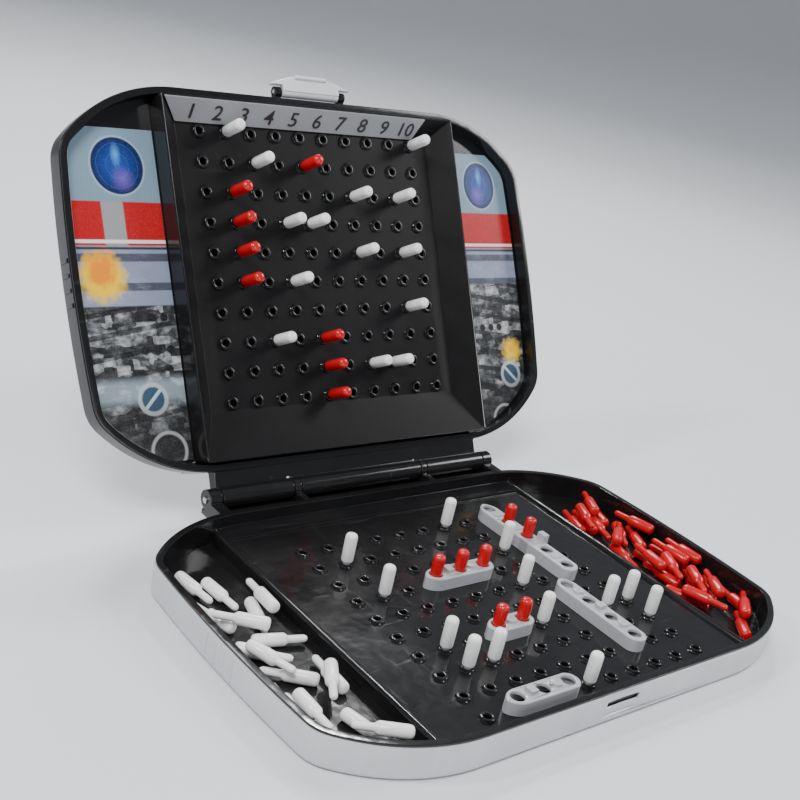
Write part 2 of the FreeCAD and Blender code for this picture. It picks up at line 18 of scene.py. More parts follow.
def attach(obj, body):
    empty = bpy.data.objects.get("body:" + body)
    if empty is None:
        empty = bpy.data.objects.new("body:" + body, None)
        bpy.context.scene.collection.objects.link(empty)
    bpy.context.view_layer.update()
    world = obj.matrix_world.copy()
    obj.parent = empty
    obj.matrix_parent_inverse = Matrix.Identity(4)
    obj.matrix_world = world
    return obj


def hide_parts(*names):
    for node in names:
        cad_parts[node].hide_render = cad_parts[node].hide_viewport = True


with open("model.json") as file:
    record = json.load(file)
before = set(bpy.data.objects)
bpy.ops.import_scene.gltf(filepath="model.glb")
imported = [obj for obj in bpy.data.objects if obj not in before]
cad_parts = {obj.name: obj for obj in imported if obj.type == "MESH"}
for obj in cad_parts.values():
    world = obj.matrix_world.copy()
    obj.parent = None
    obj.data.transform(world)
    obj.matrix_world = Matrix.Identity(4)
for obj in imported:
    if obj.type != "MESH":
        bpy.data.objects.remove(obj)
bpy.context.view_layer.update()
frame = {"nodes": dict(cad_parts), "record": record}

nodes = frame["nodes"]

# %% [markdown]
# The lid leans back, so its own directions are needed again and again: across the case, up the
# lid, and straight out of its face. The joints of the frame already know them. A spot on the lid
# is then three plain lengths, which is how the mould maker's drawing would give it.

# %% The lid's directions
MM = 0.001
PITCH = 11.5 * MM                    # hole to hole
CELLS = 10
LID_ROW_TEN = 3.05 * PITCH           # hinge to the lowest row of target holes
joints = {joint["name"]: joint for joint in frame["record"]["behaviour"]["joints"]}
hinge = Vector(joints["lid_hinge"]["pos_m"])
lid_out = Vector(joints["target_red_pegs_pull"]["axis"]).normalized()
lid_up = Vector((1, 0, 0)).cross(-lid_out).normalized()
if lid_up.z < 0:
    lid_up.negate()


def lid_point(x, up, out):
    """A spot on the lid: across, up from the hinge, and out of the rim's plane."""
    return Vector((x, hinge.y, hinge.z)) + lid_up * up + lid_out * out


print("hinge", tuple(hinge), "lid leans", round(math.degrees(math.asin(lid_up.y)), 2), "degrees")

# %% [markdown]
# ## Finishes
# Each finish is a small network of shader nodes. Writing `a * 2 + b` is easier to read than a
# list of Math nodes, so a socket is wrapped in a class whose arithmetic adds the nodes.

# %% Arithmetic on sockets
class Value:
    """One number that varies over a surface."""

    def __init__(self, paint, socket):
        self.paint = paint
        self.socket = socket

    def reckon(self, operation, *others, first=None, clamp=False):
        """A Math node with this value as its first input, unless another is given."""
        inputs = dict(enumerate([self if first is None else first, *others]))
        settings = {"operation": operation, "use_clamp": clamp}
        return self.paint.node("ShaderNodeMath", settings, inputs).out(0)

    def __add__(self, other):
        return self.reckon("ADD", other)

    def __sub__(self, other):
        return self.reckon("SUBTRACT", other)

    def __rsub__(self, other):
        return self.reckon("SUBTRACT", self, first=other)

    def __mul__(self, other):
        return self.reckon("MULTIPLY", other)

    def __truediv__(self, other):
        return self.reckon("DIVIDE", other)

    def __pow__(self, other):
        return self.reckon("POWER", other)

    def __gt__(self, other):
        return self.reckon("GREATER_THAN", other)

    __radd__ = __add__
    __rmul__ = __mul__

    def wave(self):
        return self.reckon("SINE")

    def held(self):
        """The value kept between 0 and 1."""
        return self.reckon("ADD", 0.0, clamp=True)


# %% [markdown]
# One more class holds a material. Its `node` method makes every node that isn't arithmetic:
# the settings go in first, because a setting can change which sockets a node has.

# %% Materials
MIX_FACTOR, MIX_A, MIX_B, MIX_RESULT = 0, 6, 7, 2


class Made:
    """A node, with its outputs ready to use."""

    def __init__(self, paint, node):
        self.paint = paint
        self.node = node

    def out(self, key=0):
        return Value(self.paint, self.node.outputs[key])


class Paint:
    """A material under construction."""

    def __init__(self, name):
        self.material = bpy.data.materials.new(name)
        self.material.use_nodes = True
        self.tree = self.material.node_tree
        self.shader = self.tree.nodes["Principled BSDF"]
        where = self.node("ShaderNodeTexCoord").out("Object")
        self.place = where
        apart = self.node("ShaderNodeSeparateXYZ", {}, {0: where})
        self.x, self.y, self.z = (apart.out(axis) for axis in "XYZ")

    def put(self, socket, value):
        """Sets a socket, or links it."""
        if isinstance(value, Value):
            self.tree.links.new(value.socket, socket)
        elif socket.type == "RGBA" and len(value) == 3:
            socket.default_value = (*value, 1.0)
        else:
            socket.default_value = value

    def node(self, kind, settings=None, sockets=None):
        """Any node: its type, its settings, then the values or links of its sockets."""
        made = self.tree.nodes.new(kind)
        settings = dict(settings or {})
        stops = settings.pop("stops", None)
        for key, value in settings.items():
            setattr(made, key, value)
        if stops:
            while len(made.color_ramp.elements) < len(stops):
                made.color_ramp.elements.new(1.0)
            for element, (position, colour) in zip(made.color_ramp.elements, stops):
                element.position = position
                element.color = (*colour, 1.0)
        for key, value in (sockets or {}).items():
            self.put(made.inputs[key], value)
        return Made(self, made)

    def mix(self, mask, under, over):
        """One colour laid over another where the mask is 1."""
        sockets = {MIX_FACTOR: mask, MIX_A: under, MIX_B: over}
        return self.node("ShaderNodeMix", {"data_type": "RGBA"}, sockets).out(MIX_RESULT)

    def noise(self, scale, detail=2.0, vector=None, roughness=0.5):
        """A soft random pattern, `scale` patches to the metre."""
        sockets = {"Vector": vector or self.place, "Scale": scale}
        sockets |= {"Detail": detail, "Roughness": roughness}
        return self.node("ShaderNodeTexNoise", {}, sockets).out(0)

    def stretched(self, stretch):
        """The place in space, squeezed along each axis."""
        sockets = {"Vector": self.place, "Scale": stretch}
        return self.node("ShaderNodeMapping", {"vector_type": "POINT"}, sockets).out(0)

    def bump(self, height, distance, strength=1.0, under=None):
        """Relief from a height between 0 and 1, `distance` metres deep."""
        sockets = {"Height": height, "Distance": distance, "Strength": strength}
        if under:
            sockets["Normal"] = under
        return self.node("ShaderNodeBump", {}, sockets).out(0)

    def finish(self, **sockets):
        """Feeds the shader. Underscores stand for spaces in the sockets' names."""
        for name, value in sockets.items():
            self.put(self.shader.inputs[name.replace("_", " ")], value)
        return self.material


print("finish helpers ready")

# %% [markdown]
# Moulded plastic is never one flat colour. Handling leaves faint smears that change its gloss,
# a tumble in a travel bag leaves hair scratches, and the polished mould leaves a slight ripple.
# The same three layers serve every plastic here, in different amounts.

# %% Moulded plastic
def hair_scratches(paint, stretch, cut):
    """Thin lines along one direction, 1 where a scratch runs."""
    lines = paint.noise(1.0, 3.0, paint.stretched(stretch))
    return ((lines - cut) * 9.0).held()


def plastic(name, colour, gloss, wear=0.5, ripple=0.00002, speck=0.0, swell=0.0, **constants):
    """A moulded plastic: its colour, its roughness, how handled it is, and how wavy."""
    paint = Paint(name)
    smear = paint.noise(38.0, 4.0, roughness=0.6)
    fine = paint.noise(620.0, 2.0)
    along = hair_scratches(paint, (260.0, 22.0, 260.0), 0.66)
    across = hair_scratches(paint, (30.0, 330.0, 150.0), 0.67)
    scratch = (along + across).held() * wear
    pale = [min(1.0, part * 1.22 + 0.012 * wear) for part in colour]
    deep = [part * 0.84 for part in colour]
    tone = paint.mix(smear, deep, pale)
    tone = paint.mix(scratch * 0.35, tone, [min(1.0, part * 1.5 + 0.05) for part in colour])
    if speck:
        flakes = ((paint.noise(2600.0, 1.0) - 0.6) * 8.0).held()
        tone = paint.mix(flakes * speck, tone, [min(1.0, part * 1.45) for part in colour])
    rough = gloss + (smear - 0.5) * 0.16 + scratch * 0.22 + (fine - 0.5) * 0.05
    relief = paint.bump(smear * 0.6 + fine * 0.4, ripple)
    if swell:
        relief = paint.bump(paint.noise(150.0, 1.0), swell, 1.0, relief)
    relief = paint.bump(1.0 - scratch, 0.00003, 0.35, relief)
    return paint.finish(Base_Color=tone, Roughness=rough.held(), Normal=relief, **constants)


silver = plastic("silver plastic", (0.56, 0.57, 0.59), 0.30, 0.35, speck=0.5, Metallic=0.25)
black = plastic("glossy black plastic", (0.0055, 0.0055, 0.006), 0.15, 0.5, 0.00004)
tray_black = plastic(
    "wavy black plastic", (0.0055, 0.0055, 0.006), 0.14, 0.5, 0.00004, swell=0.00013
)
charcoal = plastic("charcoal target face", (0.0045, 0.0045, 0.005), 0.42, 0.3, 0.00004)
ship_grey = plastic("ship grey", (0.40, 0.41, 0.43), 0.26, 0.5)
clasp_grey = plastic("clasp grey", (0.60, 0.60, 0.62), 0.30, 0.4)
strip_grey = plastic("strip grey", (0.31, 0.32, 0.335), 0.36, 0.4)
ink = plastic("number ink", (0.02, 0.02, 0.022), 0.45, 0.2)
white = plastic("white peg", (0.86, 0.86, 0.85), 0.20, 0.3)
red = plastic("red peg", (0.50, 0.005, 0.008), 0.20, 0.3)
SHINE = {black: 0.42, tray_black: 0.50, charcoal: 0.13}
for finish, level in SHINE.items():
    finish.node_tree.nodes["Principled BSDF"].inputs["Specular IOR Level"].default_value = level
print("plastics:", [finish.name for finish in (silver, black, charcoal, ship_grey, clasp_grey)])

# %% [markdown]
# The hinge wire is drawn steel. Drawing leaves fine lines round the wire's length, and the
# metal dulls in patches where fingers reach it.

# %% Drawn steel
def drawn_steel():
    paint = Paint("drawn steel")
    lines = paint.noise(1.0, 3.0, paint.stretched((40.0, 2400.0, 2400.0)))
    patches = paint.noise(70.0, 3.0)
    tone = paint.mix(patches, (0.46, 0.46, 0.47), (0.66, 0.66, 0.67))
    rough = 0.22 + lines * 0.14 + patches * 0.10
    return paint.finish(
        Base_Color=tone, Roughness=rough.held(), Metallic=1.0, Normal=paint.bump(lines, 0.00001)
    )


steel = drawn_steel()

# %% [markdown]
# ## The printed wings
# A glossy sticker fills each wing of the lid. It shows a made-up control desk: a round radar
# screen, a red signal bar, a flash of fire, grey machinery and a blue porthole. The picture is
# drawn by masks that measure how far a spot is from the middle of the case and from the hinge,
# both counted in holes, so it needs no image and stays sharp from any distance.

# %% Masks for the print
def within(value, low, high, edge=0.05):
    """1 between two limits, with soft edges."""
    return ((value - low) / edge).held() * ((high - value) / edge).held()


def reach(across, up, spot, stretch=1.0):
    """The distance to a spot."""
    return (((across - spot[0]) * stretch) ** 2.0 + (up - spot[1]) ** 2.0) ** 0.5


def inside(distance, radius, edge=0.05):
    """1 inside a circle."""
    return ((radius - distance) / edge).held()


# %% [markdown]
# The radar screen could be a ready picture, but a picture has a size beyond which it blurs. Here
# every part of it is a distance from its own middle, mixed from dark blue to bright.

# %% The radar screen
NAVY = (0.002, 0.004, 0.040)
SEA_BLUE = (0.004, 0.050, 0.30)
ICE_BLUE = (0.10, 0.42, 0.95)
VIOLET = (0.20, 0.10, 0.48)
PANEL_BLUE = (0.19, 0.29, 0.36)
BEZEL_BLUE = (0.34, 0.46, 0.56)
BEZEL = 0.05


def radar(paint, picture, across, up, spot, radius, stretch):
    """A dark blue globe with a bright sweep and a pale bezel."""
    distance = reach(across, up, spot, stretch)
    face = paint.mix((distance / radius) ** 1.6, SEA_BLUE, NAVY)
    beam = inside(reach(across, up, (spot[0] + 0.02, spot[1] + 0.35), stretch * 2.1), 0.42, 0.5)
    face = paint.mix(beam * 0.85, face, ICE_BLUE)
    glow = inside(reach(across, up, (spot[0] - 0.15, spot[1] - 0.40), stretch), 0.45, 0.45)
    face = paint.mix(glow * 0.7, face, VIOLET)
    rings = ((distance * 20.0).wave() > 0.97) * 0.12
    face = paint.mix(rings, face, ICE_BLUE)
    picture = paint.mix(inside(distance, radius + BEZEL), picture, BEZEL_BLUE)
    return paint.mix(inside(distance, radius), picture, face)


# %% [markdown]
# The machinery only has to look busy from arm's length. A Voronoi texture measured with square
# distances gives blocks, and a soft noise breaks them up.

# %% The machinery
def machinery(paint, across, up, seed):
    """Blocks, pipes and shadows in greys, drawn as a jumble of square cells."""
    cell_place = {0: across * 2.1 + seed, 1: up * 2.9, 2: seed}
    spot = paint.node("ShaderNodeCombineXYZ", {}, cell_place).out(0)
    settings = {"distance": "CHEBYCHEV", "feature": "F1"}
    cells = paint.node("ShaderNodeTexVoronoi", settings, {"Vector": spot, "Scale": 1.0})
    shade = paint.node("ShaderNodeSeparateColor", {}, {0: cells.out("Color")}).out(0)
    clouds = paint.noise(2.2, 5.0, spot, 0.65)
    bars = ((up * 9.0 + across * 1.3).wave() > 0.72) * 0.22
    level = (shade * 0.60 + clouds * 1.05 - 0.33 - cells.out("Distance") * 0.40 - bars).held()
    stops = [
        (0.0, (0.006, 0.006, 0.007)), (0.28, (0.045, 0.047, 0.05)),
        (0.50, (0.17, 0.18, 0.19)), (0.72, (0.42, 0.43, 0.43)), (1.0, (0.78, 0.78, 0.76)),
    ]
    return paint.node("ShaderNodeValToRGB", {"stops": stops}, {0: level}).out(0)


WINDOW_SPACING = 0.45
WINDOW_RADIUS = 0.16


def window_row(across, up, first, level):
    """Three round windows in a row."""
    holes = None
    for k in range(3):
        middle = (first + k * WINDOW_SPACING, level)
        hole = inside(reach(across, up, middle), WINDOW_RADIUS, 0.04)
        holes = hole if holes is None else holes + hole
    return holes.held()


# %% The porthole
GLASS = (0.03, 0.07, 0.12)
GLINT = (0.45, 0.58, 0.66)
STEEL_RING = (0.42, 0.47, 0.50)


def porthole(paint, picture, across, up, spot, radius):
    """A steel ring round dark blue glass with a slanting glint."""
    distance = reach(across, up, spot)
    picture = paint.mix(inside(distance, radius + 0.14), picture, STEEL_RING)
    slant = within(across + up - (spot[0] + spot[1]), -0.10, 0.10)
    return paint.mix(inside(distance, radius), picture, paint.mix(slant, GLASS, GLINT))


# %% [markdown]
# The two wings carry the same things at different places, so their places are a table and the
# drawing is one function. Later layers cover earlier ones, as paper cuttings would. The first
# number of a spot counts holes from the middle of the case, and the second counts holes up from
# the lowest row of the target.

# %% Where things are on each wing
SIGNAL_RED = (0.42, 0.003, 0.006)
FIRE = (0.86, 0.22, 0.0)
FLAME = (0.92, 0.58, 0.0)
RED_BAR = (5.2, 6.66)
PALE_LINE = (5.28, 5.42)
DARK_LINE = (5.08, 5.2)
PANEL_FROM = 6.58
SCREEN_RADIUS = 0.92
PORTHOLE_RADIUS = 0.42
DIAL_RING = (0.52, 0.68)
WINGS = {
    -1: {
        "seed": 3.7, "desk": (3.3, 5.3), "windows": [(6.6, 2.95), (6.5, 1.9)],
        "fire": (8.55, 4.25), "fire size": 0.95, "porthole": (7.35, 0.35), "dial": (7.0, -1.35),
        "screen": (7.55, 7.72), "stretch": 1.0,
    },
    1: {
        "seed": 8.2, "desk": (3.8, 5.3), "windows": [(7.3, 2.1)],
        "fire": (8.75, 1.15), "fire size": 0.62, "porthole": (8.55, 0.2), "dial": (8.0, -1.6),
        "screen": (7.95, 7.68), "stretch": 1.12,
    },
}


# %% The lower half of a wing
def desk_and_windows(paint, picture, across, up, wing):
    """A striped slate desk and rows of dark windows over the machinery."""
    stripes = within((up * 6.8).wave(), 0.55, 1.2, 0.2)
    slate = paint.mix(stripes * 0.85, (0.26, 0.30, 0.42), (0.03, 0.035, 0.06))
    picture = paint.mix(within(up, *wing["desk"]) * 0.85, picture, slate)
    holes = None
    for first, level in wing["windows"]:
        row = window_row(across, up, first, level)
        holes = row if holes is None else (holes + row).held()
    return paint.mix(holes, picture, (0.008, 0.008, 0.010))


def fire(paint, picture, across, up, wing):
    """A ragged yellow flame with an orange heart."""
    spot, size = wing["fire"], wing["fire size"]
    blaze = reach(across, up, spot) + paint.noise(420.0, 4.0) * 0.55
    picture = paint.mix(inside(blaze, size + 0.25, 0.35), picture, FLAME)
    heart = inside(blaze + (spot[1] - up) * 0.45, size - 0.12, 0.3) * 0.9
    return paint.mix(heart, picture, FIRE)


# %% The upper half of a wing
def bar_and_panel(paint, picture, across, up, wing, left):
    """The red bar with its lines, and the blue panel with its screen."""
    bar = within(up, *RED_BAR)
    picture = paint.mix(bar, picture, SIGNAL_RED)
    if left:
        picture = paint.mix(bar * within(across, 7.5, 8.3), picture, (0.27, 0.28, 0.29))
    picture = paint.mix(within(up, *PALE_LINE, 0.03), picture, (0.78, 0.74, 0.72))
    picture = paint.mix(within(up, *DARK_LINE, 0.04), picture, (0.03, 0.03, 0.035))
    above = ((up - PANEL_FROM) / 0.04).held()
    picture = paint.mix(above, picture, PANEL_BLUE)
    picture = paint.mix(above * (paint.noise(190.0, 3.0) * 0.5), picture, (0.14, 0.22, 0.30))
    return radar(paint, picture, across, up, wing["screen"], SCREEN_RADIUS, wing["stretch"])


# %% The whole print
def wing_print(name, side):
    """The picture of one wing. `side` is -1 on the left and 1 on the right."""
    paint = Paint(name)
    wing = WINGS[side]
    left = side < 0
    across = paint.x * (side / PITCH)
    climb = (paint.y - hinge.y) * lid_up.y + (paint.z - hinge.z) * lid_up.z
    up = (climb - LID_ROW_TEN) / PITCH
    picture = machinery(paint, across, up, wing["seed"])
    picture = desk_and_windows(paint, picture, across, up, wing)
    if left:
        pale = within(up, 0.1, 1.15, 0.3) * 0.55
        picture = paint.mix(pale, picture, (0.40, 0.50, 0.58))
    picture = fire(paint, picture, across, up, wing)
    picture = porthole(paint, picture, across, up, wing["porthole"], PORTHOLE_RADIUS)
    shade = ((0.5 - up) / 1.5).held()
    picture = paint.mix(shade * 0.88, picture, (0.012, 0.012, 0.014))
    ring = within(reach(across, up, wing["dial"]), *DIAL_RING)
    picture = paint.mix(ring * 0.6, picture, (0.50, 0.51, 0.50))
    picture = bar_and_panel(paint, picture, across, up, wing, left)
    dots = ((paint.noise(3300.0, 1.0) - 0.5) * 0.25 + 0.5).held()
    picture = paint.mix((dots - 0.5).held(), picture, (0.9, 0.9, 0.9))
    smear = paint.noise(55.0, 4.0)
    return paint.finish(
        Base_Color=picture, Roughness=(0.24 + smear * 0.18).held(),
        Normal=paint.bump(smear, 0.00004), Specular_IOR_Level=0.22,
    )


left_print = wing_print("left wing print", -1)
right_print = wing_print("right wing print", 1)
print("prints:", left_print.name, "and", right_print.name)

# %% [markdown]
# ## Softened mouldings
# A mould can't cut a razor edge, and light catches the tiny rounds along every rim. The solids
# of the frame have sharp edges there, so each visible moulding is a copy of its solid: its loose
# triangles are joined, flat areas become whole faces, and the edges that turn sharply are rounded.

# %% [markdown]
# A Bevel modifier could do this live, but a few thin triangles of the solids would throw its
# corners far out. Beveling in code allows a check: a point that has strayed further from the old
# surface than a round can is put back on it. The small edges inside the holes are left sharp,
# because the collars cover them.

# %% Rounding a moulding's edges
FLAT_ANGLE = math.radians(0.4)       # faces nearer than this are one flat face
SHARP_ANGLE = math.radians(34.0)     # edges that turn more than this get a round
CREASE_ANGLE = math.radians(38.0)    # edges that still shade as creases
SAME_PLACE = 1e-6                    # metres
STRAY_LIMIT = 0.6                    # of a round's width
HOLE_REACH = 3.2 * MM


def near_a_hole(point, hole_centres):
    """Whether a point lies on one of the collars."""
    if len(hole_centres) == 0:
        return False
    return np.linalg.norm(hole_centres - np.array(point), axis=1).min() < HOLE_REACH


def flat_shaded_flats(mesh, name):
    """The same mesh with its normals weighted, so wide faces stay flat beside their rounds."""
    holder = bpy.data.objects.new("holder", mesh)
    bpy.context.scene.collection.objects.link(holder)
    weighted = holder.modifiers.new("weighted", "WEIGHTED_NORMAL")
    weighted.keep_sharp = True
    weighted.weight = 100
    view = bpy.context.evaluated_depsgraph_get()
    result = bpy.data.meshes.new_from_object(holder.evaluated_get(view), depsgraph=view)
    bpy.data.objects.remove(holder)
    result.name = name
    return result


def eased(node, width, hole_centres=()):
    """A copy of a node's mesh with its sharp edges rounded, `width` metres wide."""
    mesh = nodes[node].data.copy()
    if "custom_normal" in mesh.attributes:
        mesh.attributes.remove(mesh.attributes["custom_normal"])
    work = bmesh.new()
    work.from_mesh(mesh)
    bmesh.ops.remove_doubles(work, verts=work.verts, dist=SAME_PLACE)
    bmesh.ops.dissolve_limit(
        work, angle_limit=FLAT_ANGLE, verts=work.verts, edges=work.edges, delimit={"NORMAL"}
    )
    bmesh.ops.triangulate(work, faces=[face for face in work.faces if len(face.verts) > 4])
    before = BVHTree.FromBMesh(work)
    sharp = [
        edge for edge in work.edges
        if len(edge.link_faces) == 2 and edge.calc_face_angle() > SHARP_ANGLE
        and not near_a_hole((edge.verts[0].co + edge.verts[1].co) / 2, hole_centres)
    ]
    bmesh.ops.bevel(
        work, geom=sharp, offset=width, offset_type="OFFSET", segments=2, profile=0.5,
        affect="EDGES", clamp_overlap=False, loop_slide=True,
    )
    for vert in work.verts:
        spot, _, _, stray = before.find_nearest(vert.co)
        if stray > width * STRAY_LIMIT:
            vert.co = spot
    bmesh.ops.remove_doubles(work, verts=work.verts, dist=2 * SAME_PLACE)
    for face in work.faces:
        face.smooth = True
    work.to_mesh(mesh)
    work.free()
    mesh.set_sharp_from_angle(angle=CREASE_ANGLE)
    print(node, "rounded", len(sharp), "edges,", len(mesh.polygons), "faces")
    return flat_shaded_flats(mesh, node + "_eased")


def piece(name, mesh, finishes, body, stands_for):
    """Puts a finished mesh in the scene, on its body."""
    obj = bpy.data.objects.new(name, mesh)
    bpy.context.scene.collection.objects.link(obj)
    mesh.materials.clear()
    for finish in finishes:
        mesh.materials.append(finish)
    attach(obj, body)
    if stands_for:
        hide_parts(*stands_for)
    return obj


# %% Where the holes are
def grid_places(middle, along, up):
    """The centre of every hole in a ten by ten grid."""
    steps = [(k - (CELLS - 1) / 2) * PITCH for k in range(CELLS)]
    return np.array([middle + along * a + up * b for b in steps for a in steps])


mounts = {mount["name"]: mount for mount in frame["record"]["mounts"]}
grid_mount = Vector(mounts["ocean_grid_corners"]["pos_m"])
COLLAR_HEIGHT = 0.9 * MM
TARGET_DEPTH = 5.2 * MM
ACROSS = Vector((1, 0, 0))
board_middle = grid_mount - Vector((0, 0, COLLAR_HEIGHT))
target_middle = lid_point(0, LID_ROW_TEN + (CELLS - 1) / 2 * PITCH, -TARGET_DEPTH)
ocean_holes = grid_places(board_middle, ACROSS, Vector((0, 1, 0)))
target_holes = grid_places(target_middle, ACROSS, lid_up)
print("holes:", len(ocean_holes), "in the board,", len(target_holes), "in the target")

# %% The case's mouldings
piece(
    "silver_pan", eased("base_outer_shell", 0.35 * MM),
    [silver], "base", ["base_outer_shell"],
)
piece(
    "black_tray", eased("base_inner_tray", 0.28 * MM, hole_centres=ocean_holes),
    [tray_black], "base", ["base_inner_tray"],
)
piece(
    "lid_shell", eased("lid_outer_shell", 0.3 * MM),
    [black], "lid", ["lid_outer_shell"],
)
panel = piece(
    "target_box", eased("target_panel", 0.28 * MM, hole_centres=target_holes),
    [black, charcoal], "lid", ["target_panel"],
)

# %% [markdown]
# The mould maker textured the target face, so it looks softer than the polished box round it.
# A second finish goes on the faces that lie in its plane.

# %% The target face
POD_INSIDE = 69.8 * MM               # half the width between the box's rims
POD_REACH = (14.3 * MM, 148.6 * MM)  # hinge to the near and far rims
POD_RISE = 3.45 * MM
face_count = 0
for polygon in panel.data.polygons:
    spot = polygon.center - hinge
    is_inside = abs(spot.x) < POD_INSIDE and POD_REACH[0] < spot.dot(lid_up) < POD_REACH[1]
    is_low = -TARGET_DEPTH - 0.1 * MM < spot.dot(lid_out) < POD_RISE - 0.1 * MM
    if is_inside and is_low and polygon.normal.dot(lid_out) > 0.1:
        polygon.material_index = 1
        face_count += 1
print("target face and slopes:", face_count, "faces")

# %% [markdown]
# ## Collars
# Every hole has a small raised collar that guides a peg. There are two hundred, all alike, on a
# grid, which is just what Geometry Nodes are good at: one ring is turned on a lathe, then set on
# every point of the grid.

# %% A lathe
def lathe(name, profile, sides, closed=False):
    """A mesh turned round Z from (radius, height) pairs. A radius of 0 closes the end."""
    work = bmesh.new()
    rings = []
    for radius, height in profile:
        if radius == 0:
            rings.append([work.verts.new((0, 0, height))])
            continue
        turns = [2 * math.pi * k / sides for k in range(sides)]
        spots = [(radius * math.cos(a), radius * math.sin(a), height) for a in turns]
        rings.append([work.verts.new(spot) for spot in spots])
    pairs = list(zip(rings, rings[1:])) + ([(rings[-1], rings[0])] if closed else [])
    for low, high in pairs:
        for k in range(sides):
            j = (k + 1) % sides
            corners = [low[k % len(low)], low[j % len(low)]]
            corners += [high[j % len(high)], high[k % len(high)]]
            work.faces.new(list(dict.fromkeys(corners)))
    bmesh.ops.recalc_face_normals(work, faces=work.faces)
    for face in work.faces:
        face.smooth = True
    mesh = bpy.data.meshes.new(name)
    work.to_mesh(mesh)
    work.free()
    return mesh


# %% Setting copies on points
def copies_tree(name):
    """A node tree that sets one shape on every point, turned by the point's own lean."""
    tree = bpy.data.node_groups.new(name, "GeometryNodeTree")
    face = tree.interface
    face.new_socket("Points", in_out="INPUT", socket_type="NodeSocketGeometry")
    face.new_socket("Shape", in_out="INPUT", socket_type="NodeSocketObject")
    face.new_socket("Size", in_out="INPUT", socket_type="NodeSocketFloat").default_value = 1.0
    face.new_socket("Finish", in_out="INPUT", socket_type="NodeSocketMaterial")
    face.new_socket("Result", in_out="OUTPUT", socket_type="NodeSocketGeometry")
    add = tree.nodes.new
    ask, give = add("NodeGroupInput"), add("NodeGroupOutput")
    shape, lean = add("GeometryNodeObjectInfo"), add("GeometryNodeInputNamedAttribute")
    lean.data_type = "FLOAT_VECTOR"
    lean.inputs["Name"].default_value = "lean"
    turn = add("FunctionNodeAlignRotationToVector")
    turn.axis = "Z"
    place, real = add("GeometryNodeInstanceOnPoints"), add("GeometryNodeRealizeInstances")
    paint = add("GeometryNodeSetMaterial")
    join = tree.links.new
    join(ask.outputs["Shape"], shape.inputs["Object"])
    join(ask.outputs["Points"], place.inputs["Points"])
    join(shape.outputs["Geometry"], place.inputs["Instance"])
    join(lean.outputs["Attribute"], turn.inputs["Vector"])
    join(turn.outputs["Rotation"], place.inputs["Rotation"])
    join(ask.outputs["Size"], place.inputs["Scale"])
    join(place.outputs["Instances"], real.inputs["Geometry"])
    join(real.outputs["Geometry"], paint.inputs["Geometry"])
    join(ask.outputs["Finish"], paint.inputs["Material"])
    join(paint.outputs["Geometry"], give.inputs["Result"])
    return tree


set_on_points = copies_tree("set on points")


def repeated(name, shape_mesh, places, leans, finish):
    """A plain mesh of copies of a shape, each with its Z axis along its lean."""
    shape = bpy.data.objects.new(name + " shape", shape_mesh)
    points = bpy.data.meshes.new(name + " points")
    points.from_pydata([tuple(place) for place in places], [], [])
    leaning = points.attributes.new("lean", "FLOAT_VECTOR", "POINT")
    leaning.data.foreach_set("vector", np.array(leans, dtype=float).ravel())
    holder = bpy.data.objects.new(name + " holder", points)
    bpy.context.scene.collection.objects.link(holder)
    modifier = holder.modifiers.new("copies", "NODES")
    modifier.node_group = set_on_points
    wanted = {"Shape": shape, "Size": 1.0, "Finish": finish}
    for item in set_on_points.interface.items_tree:
        if item.name in wanted and item.in_out == "INPUT":
            modifier[item.identifier] = wanted[item.name]
    view = bpy.context.evaluated_depsgraph_get()
    mesh = bpy.data.meshes.new_from_object(holder.evaluated_get(view), depsgraph=view)
    bpy.data.objects.remove(holder)
    bpy.data.objects.remove(shape)
    mesh.name = name
    if "lean" in mesh.attributes:
        mesh.attributes.remove(mesh.attributes["lean"])
    print(name, len(places), "copies,", len(mesh.polygons), "faces")
    return mesh


# %% The collars
COLLAR_PROFILE = [
    (1.37, -0.4), (1.37, 0.74), (1.66, 0.97), (2.28, 0.96),
    (2.56, 0.66), (2.60, 0.14), (2.86, 0.02), (2.86, -0.4),
]
collar = lathe("collar", [(r * MM, h * MM) for r, h in COLLAR_PROFILE], 18, closed=True)
up_board = [(0, 0, 1)] * len(ocean_holes)
up_target = [tuple(lid_out)] * len(target_holes)
piece(
    "ocean_collars", repeated("ocean collars", collar, ocean_holes, up_board, black),
    [black], "base", [],
)
piece(
    "target_collars", repeated("target collars", collar, target_holes, up_target, black),
    [black], "lid", [],
)

# %% [markdown]
# ## Pegs
# A peg is a slim pin that widens into a long, round-ended head. The same turned shape is used
# for all of them, plugged or loose, so only their places differ. Those are read from the frame:
# each peg solid is one island of its mesh, its longest direction is the way it lies, and the
# thicker half is the head.

# %% Reading where pegs lie
def islands(node):
    """The points of each separate solid in a node."""
    work = bmesh.new()
    work.from_mesh(nodes[node].data)
    bmesh.ops.remove_doubles(work, verts=work.verts, dist=SAME_PLACE)
    left, groups = set(work.verts), []
    while left:
        found, todo = [], [left.pop()]
        while todo:
            vert = todo.pop()
            found.append(tuple(vert.co))
            for edge in vert.link_edges:
                other = edge.other_vert(vert)
                if other in left:
                    left.remove(other)
                    todo.append(other)
        groups.append(np.array(found))
    work.free()
    return groups


def peg_line(points):
    """The pin's tip and the direction to the head's end."""
    middle = (points.min(axis=0) + points.max(axis=0)) / 2
    away = points - points.mean(axis=0)
    along = np.linalg.eigh(away.T @ away)[1][:, -1]
    level = (points - middle) @ along
    wide = np.linalg.norm(points - middle - np.outer(level, along), axis=1)
    if wide[level > level.max() * 0.3].max() < wide[level < level.min() * 0.3].max():
        along, level = -along, -level
    centre = points.mean(axis=0)
    start = centre + along * (level.min() - (centre - middle) @ along)
    return start, along


